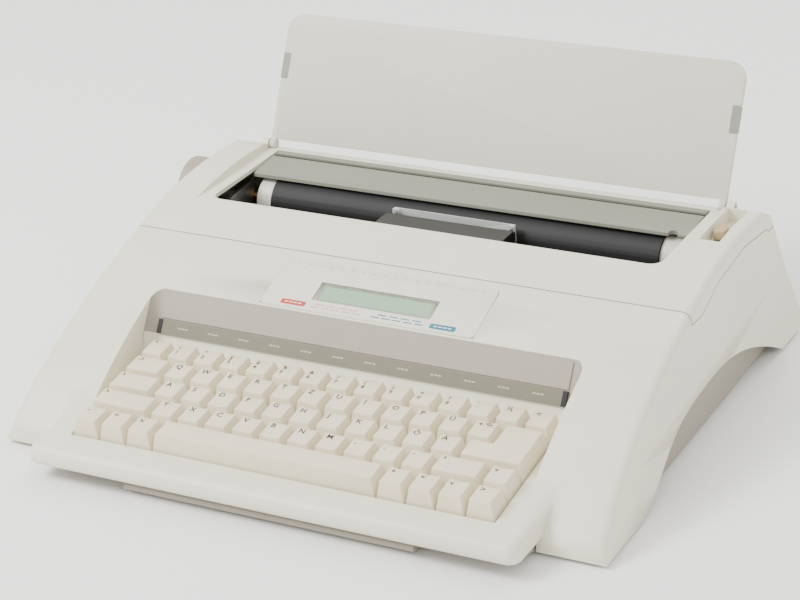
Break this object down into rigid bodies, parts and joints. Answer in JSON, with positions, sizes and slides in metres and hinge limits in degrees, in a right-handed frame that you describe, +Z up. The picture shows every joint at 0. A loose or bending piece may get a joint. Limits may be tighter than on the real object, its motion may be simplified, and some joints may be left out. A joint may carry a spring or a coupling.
{
  "type": "typewriter",
  "caption": "Portable electronic typewriter: sloped case with keyboard tray, hinged cover, fold-back paper support and a platen over a moving print carriage.",
  "frame": {"origin": "middle of the footprint, on the surface that the machine stands on", "axes": "+X to the typist's right, +Y from the keyboard to the back, +Z up"},
  "size_m": [0.419, 0.3598, 0.1824],
  "materials": {
    "case_plastic": "fine textured warm white moulding",
    "cover_plastic": "fine textured warm white moulding",
    "key_plastic": "satin cream moulding",
    "dark_taupe_plastic": "textured taupe moulding",
    "recess_plastic": "textured taupe sheet",
    "strip_plastic": "grey-green satin strip",
    "support_plastic": "fine textured warm grey moulding",
    "overlay_film": "satin film",
    "clear_window": "clear acrylic",
    "display_glass": "pale green liquid crystal",
    "platen_rubber": "ground black rubber",
    "nylon_white": "white nylon",
    "bearing_bronze": "sintered bronze",
    "bright_steel": "ground bar",
    "zinc_plate": "zinc plated sheet",
    "alloy_tube": "turned",
    "bail_plastic": "grey-green satin",
    "black_plastic": "black moulding",
    "motor_steel": "motor can",
    "belt_rubber": "toothed belt",
    "circuit_board": "green laminate",
    "transformer_iron": "laminated core",
    "foot_rubber": "soft rubber",
    "dome_rubber": "silicone",
    "tan_plastic": "tan moulding",
    "red_light": "red lens",
    "clear_card": "clear card"
  },
  "bodies": {
    "case": {"lower_case": "case_plastic", "base_pan": "dark_taupe_plastic", "case_screws": "bright_steel", "rubber_feet": "foot_rubber", "key_plate": "zinc_plate", "key_board": "circuit_board", "key_domes": "dome_rubber", "lock_light": "red_light", "function_strip": "strip_plastic", "recess_panel": "recess_plastic", "display_overlay": "overlay_film", "display_window": "clear_window", "display_module": "display_glass", "platen_bearings": "bearing_bronze", "feed_motor": "motor_steel", "paper_trough": "strip_plastic", "left_side_frame": "zinc_plate", "right_side_frame": "zinc_plate", "carriage_rails": "bright_steel", "pivot_pins": "bright_steel", "carriage_motor": "motor_steel", "carriage_belt": "belt_rubber", "main_board": "circuit_board", "transformer": "transformer_iron", "power_inlet_unit": "black_plastic"},
    "cover": {"top_cover": "cover_plastic", "support_pins": "bright_steel"},
    "lid": {"paper_support": "support_plastic"},
    "handle": {"carry_handle": "dark_taupe_plastic"},
    "platen": {"platen_rubber": "platen_rubber", "platen_shaft": "alloy_tube", "platen_hubs": "nylon_white", "platen_gear": "nylon_white", "platen_knob": "dark_taupe_plastic"},
    "feed_pinion": {"feed_motor_pinion": "nylon_white"},
    "pinch_rollers": {"feed_rollers": "belt_rubber"},
    "bail": {"paper_bail": "bail_plastic"},
    "release": {"release_lever": "tan_plastic"},
    "print_carriage": {"carriage": "black_plastic", "wheel_motor": "motor_steel", "ribbon_cassette": "black_plastic", "correction_spools": "nylon_white", "card_holder": "clear_card"},
    "type_wheel": {"print_wheel": "black_plastic"},
    "hammer": {"print_hammer": "bright_steel"},
    "belt_drive": {"drive_pulley": "nylon_white"},
    "belt_idler": {"idler_pulley": "nylon_white"},
    "switch": {"power_rocker": "black_plastic"},
    "body_number_row_keys": {"number_row_keys": "key_plastic"},
    "body_upper_row_keys": {"upper_row_keys": "key_plastic"},
    "body_home_row_keys": {"home_row_keys": "key_plastic"},
    "body_lower_row_keys": {"lower_row_keys": "key_plastic"},
    "body_bottom_row_keys": {"bottom_row_keys": "key_plastic"},
    "body_backspace_key": {"backspace_key": "key_plastic"},
    "body_tab_key": {"tab_key": "key_plastic"},
    "body_shift_lock_key": {"shift_lock_key": "key_plastic"},
    "body_left_shift_key": {"left_shift_key": "key_plastic"},
    "body_right_shift_key": {"right_shift_key": "key_plastic"},
    "body_space_bar": {"space_bar": "key_plastic"},
    "body_return_key": {"return_key": "key_plastic"}
  },
  "joints": [
    {"name": "cover_open", "type": "hinge", "parent": "case", "child": "cover", "pos_m": [0.005, 0.14855, 0.0862], "axis": [-1, 0, 0], "range_deg": [0, 60]},
    {"name": "lid_fold", "type": "hinge", "parent": "cover", "child": "lid", "pos_m": [0.005, 0.13695, 0.0996], "axis": [1, 0, 0], "range_deg": [0, 116]},
    {"name": "handle_pull", "type": "slide", "parent": "case", "child": "handle", "axis": [0, -1, 0], "range_m": [0, 0.04]},
    {"name": "platen_turn", "type": "hinge", "parent": "case", "child": "platen", "pos_m": [0.005, 0.10295, 0.0745], "axis": [1, 0, 0], "continuous": true},
    {"name": "feed_pinion_turn", "type": "hinge", "parent": "case", "child": "feed_pinion", "pos_m": [0.175, 0.0836, 0.0745], "axis": [1, 0, 0], "continuous": true},
    {"name": "pinch_roller_turn", "type": "hinge", "parent": "case", "child": "pinch_rollers", "pos_m": [0.005, 0.10295, 0.0512], "axis": [1, 0, 0], "continuous": true},
    {"name": "bail_lift", "type": "hinge", "parent": "case", "child": "bail", "pos_m": [0.005, 0.12095, 0.09], "axis": [-1, 0, 0], "range_deg": [0, 30]},
    {"name": "release_pull", "type": "hinge", "parent": "case", "child": "release", "pos_m": [0.184, 0.10095, 0.052], "axis": [1, 0, 0], "range_deg": [0, 9]},
    {"name": "carriage_travel", "type": "slide", "parent": "case", "child": "print_carriage", "axis": [1, 0, 0], "range_m": [-0.095, 0.095]},
    {"name": "type_wheel_turn", "type": "hinge", "parent": "print_carriage", "child": "type_wheel", "pos_m": [0.005, 0.08095, 0.0445], "axis": [0, 1, 0], "continuous": true},
    {"name": "hammer_strike", "type": "slide", "parent": "print_carriage", "child": "hammer", "axis": [0, 1, 0], "range_m": [0, 0.0012], "stiffness_N_per_m": 120, "springref_m": -0.001},
    {"name": "belt_drive_turn", "type": "hinge", "parent": "case", "child": "belt_drive", "pos_m": [-0.142, 0.02095, 0.062], "axis": [0, 0, 1], "range_deg": [-800, 800]},
    {"name": "belt_idler_turn", "type": "hinge", "parent": "case", "child": "belt_idler", "pos_m": [0.152, 0.02095, 0.062], "axis": [0, 0, 1], "range_deg": [-800, 800]},
    {"name": "power_rock", "type": "hinge", "parent": "case", "child": "switch", "pos_m": [-0.096, 0.16595, 0.023], "axis": [1, 0, 0], "range_deg": [-10, 10]},
    {"name": "number_row_keys_press", "type": "slide", "parent": "case", "child": "body_number_row_keys", "axis": [0, 0.1305, -0.9914], "range_m": [0, 0.003], "stiffness_N_per_m": 600, "springref_m": -0.002, "deforming": ["key_domes"]},
    {"name": "upper_row_keys_press", "type": "slide", "parent": "case", "child": "body_upper_row_keys", "axis": [0, 0.1305, -0.9914], "range_m": [0, 0.003], "stiffness_N_per_m": 600, "springref_m": -0.002},
    {"name": "home_row_keys_press", "type": "slide", "parent": "case", "child": "body_home_row_keys", "axis": [0, 0.1305, -0.9914], "range_m": [0, 0.003], "stiffness_N_per_m": 600, "springref_m": -0.002},
    {"name": "lower_row_keys_press", "type": "slide", "parent": "case", "child": "body_lower_row_keys", "axis": [0, 0.1305, -0.9914], "range_m": [0, 0.003], "stiffness_N_per_m": 600, "springref_m": -0.002},
    {"name": "bottom_row_keys_press", "type": "slide", "parent": "case", "child": "body_bottom_row_keys", "axis": [0, 0.1305, -0.9914], "range_m": [0, 0.003], "stiffness_N_per_m": 600, "springref_m": -0.002},
    {"name": "backspace_key_press", "type": "slide", "parent": "case", "child": "body_backspace_key", "axis": [0, 0.1305, -0.9914], "range_m": [0, 0.003], "stiffness_N_per_m": 100, "springref_m": -0.002},
    {"name": "tab_key_press", "type": "slide", "parent": "case", "child": "body_tab_key", "axis": [0, 0.1305, -0.9914], "range_m": [0, 0.003], "stiffness_N_per_m": 100, "springref_m": -0.002},
    {"name": "shift_lock_key_press", "type": "slide", "parent": "case", "child": "body_shift_lock_key", "axis": [0, 0.1305, -0.9914], "range_m": [0, 0.003], "stiffness_N_per_m": 100, "springref_m": -0.002},
    {"name": "left_shift_key_press", "type": "slide", "parent": "case", "child": "body_left_shift_key", "axis": [0, 0.1305, -0.9914], "range_m": [0, 0.003], "stiffness_N_per_m": 100, "springref_m": -0.002},
    {"name": "right_shift_key_press", "type": "slide", "parent": "case", "child": "body_right_shift_key", "axis": [0, 0.1305, -0.9914], "range_m": [0, 0.003], "stiffness_N_per_m": 100, "springref_m": -0.002},
    {"name": "space_bar_press", "type": "slide", "parent": "case", "child": "body_space_bar", "axis": [0, 0.1305, -0.9914], "range_m": [0, 0.003], "stiffness_N_per_m": 200, "springref_m": -0.002},
    {"name": "return_key_press", "type": "slide", "parent": "case", "child": "body_return_key", "axis": [0, 0.1305, -0.9914], "range_m": [0, 0.003], "stiffness_N_per_m": 100, "springref_m": -0.002}
  ],
  "couplings": [
    {"joint": "feed_pinion_turn", "follows": "platen_turn", "ratio": -3},
    {"joint": "pinch_roller_turn", "follows": "platen_turn", "ratio": -2.8333},
    {"joint": "belt_drive_turn", "follows": "carriage_travel", "rad_per_m": -144.93},
    {"joint": "belt_idler_turn", "follows": "carriage_travel", "rad_per_m": -144.93}
  ]
}
